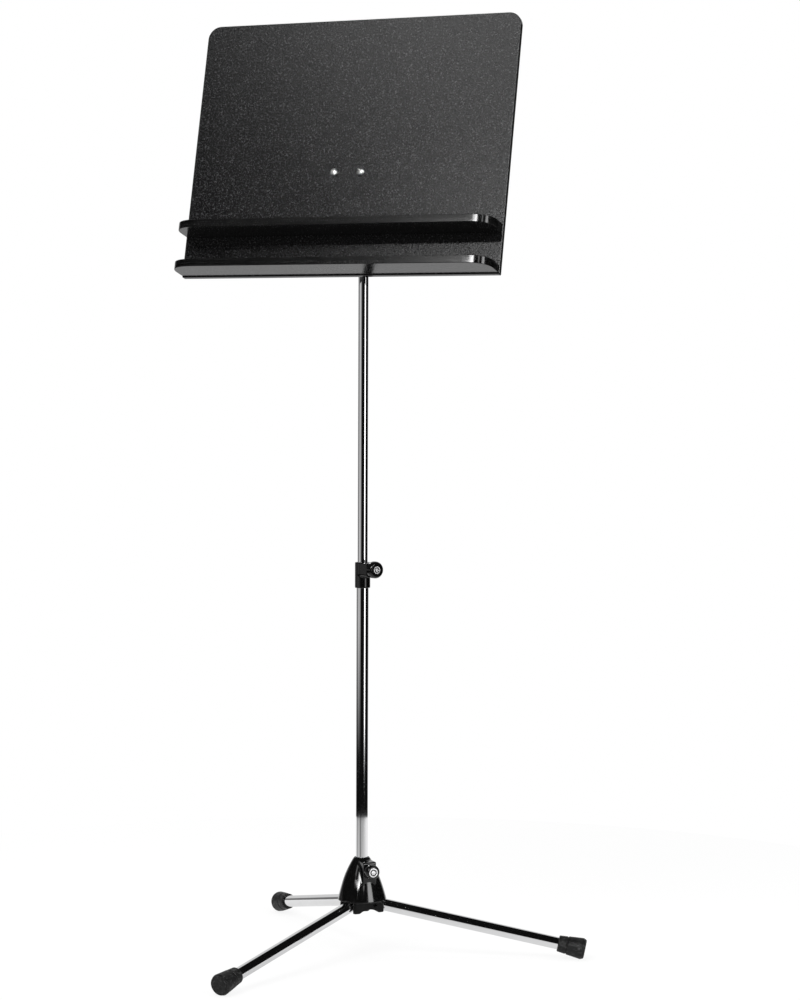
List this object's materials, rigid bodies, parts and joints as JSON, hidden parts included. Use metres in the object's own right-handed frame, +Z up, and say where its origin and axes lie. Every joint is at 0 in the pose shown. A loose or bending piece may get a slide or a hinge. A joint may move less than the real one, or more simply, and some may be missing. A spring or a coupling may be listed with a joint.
{
  "type": "music stand",
  "caption": "Free-standing music stand: a wooden desk with a tray and a shelf on a telescopic column, with a sliding bell hub over a folding leg base.",
  "frame": {"origin": "on the column's axis at floor level", "axes": "+Z up the column; the player stands on the -Y side and looks along +Y; +X is to the right of the player"},
  "size_m": [0.6022, 0.5994, 1.4556],
  "materials": {
    "black_wood": "satin black stain over plywood",
    "chrome": "polished",
    "black_gloss": "gloss black",
    "black_steel": "black powder coat",
    "rubber": "matte black",
    "brass": "plain",
    "zinc_steel": "zinc plated",
    "nylon": "matte",
    "silver": "turned"
  },
  "bodies": {
    "column": {"lower_tube": "chrome", "leg_spider": "black_gloss", "spider_screw": "zinc_steel", "tube_foot_plug": "nylon", "hinge_pin_1": "zinc_steel", "hinge_pin_2": "zinc_steel", "hinge_pin_3": "zinc_steel", "height_collar": "black_gloss", "collar_bush": "nylon", "height_insert": "brass"},
    "hub": {"base_hub": "black_gloss", "hub_insert": "brass"},
    "base_pad": {"base_brake_pad": "nylon"},
    "base_knob": {"base_knob": "black_gloss", "base_clamp_screw": "zinc_steel", "base_knob_disc": "silver"},
    "leg_1": {"leg_tube_1": "chrome", "leg_plug_1": "nylon", "foot_cap_1": "rubber"},
    "leg_2": {"leg_tube_2": "chrome", "leg_plug_2": "nylon", "foot_cap_2": "rubber"},
    "leg_3": {"leg_tube_3": "chrome", "leg_plug_3": "nylon", "foot_cap_3": "rubber"},
    "height_pad": {"height_brake_pad": "nylon"},
    "height_knob": {"height_knob": "black_gloss", "height_clamp_screw": "zinc_steel", "height_knob_disc": "silver"},
    "guide": {"guide_bush": "nylon"},
    "mast": {"upper_tube": "chrome", "tilt_head": "black_steel", "head_pin": "zinc_steel"},
    "desk": {"desk_panel": "black_wood", "lower_tray": "black_wood", "upper_shelf": "black_wood", "tray_screw_1": "zinc_steel", "tray_screw_2": "zinc_steel", "tray_screw_3": "zinc_steel", "tray_screw_4": "zinc_steel", "shelf_screw_1": "zinc_steel", "shelf_screw_2": "zinc_steel", "shelf_screw_3": "zinc_steel", "shelf_screw_4": "zinc_steel", "tilt_bracket": "black_steel", "bracket_bolt_left": "chrome", "bracket_bolt_right": "chrome", "bracket_nut_left": "zinc_steel", "bracket_nut_right": "zinc_steel", "tilt_bolt": "zinc_steel", "friction_washer_left": "nylon", "friction_washer_right": "nylon"},
    "tilt_washer": {"tilt_washer": "zinc_steel"},
    "tilt_knob": {"tilt_knob": "black_gloss", "tilt_knob_insert": "brass", "tilt_knob_disc": "silver"}
  },
  "joints": [
    {"name": "hub_slide", "type": "slide", "parent": "column", "child": "hub", "axis": [0, 0, 1], "range_m": [0, 0.385]},
    {"name": "leg_fold_1", "type": "hinge", "parent": "column", "child": "leg_1", "pos_m": [0.02313, 0.00641, 0.08005], "axis": [0.2672, -0.9636, 0], "range_deg": [0, 100]},
    {"name": "leg_fold_2", "type": "hinge", "parent": "column", "child": "leg_2", "pos_m": [-0.00601, -0.02324, 0.08005], "axis": [-0.9681, 0.2504, 0], "range_deg": [0, 100]},
    {"name": "leg_fold_3", "type": "hinge", "parent": "column", "child": "leg_3", "pos_m": [-0.01712, 0.01682, 0.08005], "axis": [0.7009, 0.7133, 0], "range_deg": [0, 100]},
    {"name": "base_pad_travel", "type": "slide", "parent": "hub", "child": "base_pad", "axis": [0.7133, -0.7009, 0], "range_m": [0, 0.0021]},
    {"name": "base_knob_turn", "type": "hinge", "parent": "base_pad", "child": "base_knob", "pos_m": [0.02282, -0.02243, 0.13495], "axis": [0.7133, -0.7009, 0], "range_deg": [0, 720]},
    {"name": "height_pad_travel", "type": "slide", "parent": "column", "child": "height_pad", "axis": [0.829, -0.5592, 0], "range_m": [0, 0.0021]},
    {"name": "height_knob_turn", "type": "hinge", "parent": "height_pad", "child": "height_knob", "pos_m": [0.02197, -0.01482, 0.606], "axis": [0.829, -0.5592, 0], "range_deg": [0, 720]},
    {"name": "mast_slide", "type": "slide", "parent": "column", "child": "guide", "axis": [0, 0, 1], "range_m": [-0.37, 0.06]},
    {"name": "mast_swivel", "type": "hinge", "parent": "guide", "child": "mast", "pos_m": [0, 0, 0.48], "axis": [0, 0, 1], "continuous": true},
    {"name": "desk_tilt", "type": "hinge", "parent": "mast", "child": "desk", "pos_m": [0, 0, 1.2], "axis": [-1, 0, 0], "range_deg": [-14, 70]},
    {"name": "tilt_washer_travel", "type": "slide", "parent": "desk", "child": "tilt_washer", "axis": [1, 0, 0], "range_m": [0, 0.0011]},
    {"name": "tilt_knob_turn", "type": "hinge", "parent": "tilt_washer", "child": "tilt_knob", "pos_m": [0.02, 0, 1.2], "axis": [1, 0, 0], "range_deg": [0, 360]}
  ],
  "couplings": [
    {"joint": "leg_fold_1", "follows": "hub_slide", "rad_per_m": 4.53},
    {"joint": "leg_fold_2", "follows": "hub_slide", "rad_per_m": 4.53},
    {"joint": "leg_fold_3", "follows": "hub_slide", "rad_per_m": 4.53},
    {"joint": "base_pad_travel", "follows": "base_knob_turn", "m_per_rad": 0.00015915},
    {"joint": "height_pad_travel", "follows": "height_knob_turn", "m_per_rad": 0.00015915},
    {"joint": "tilt_washer_travel", "follows": "tilt_knob_turn", "m_per_rad": 0.00015915}
  ]
}
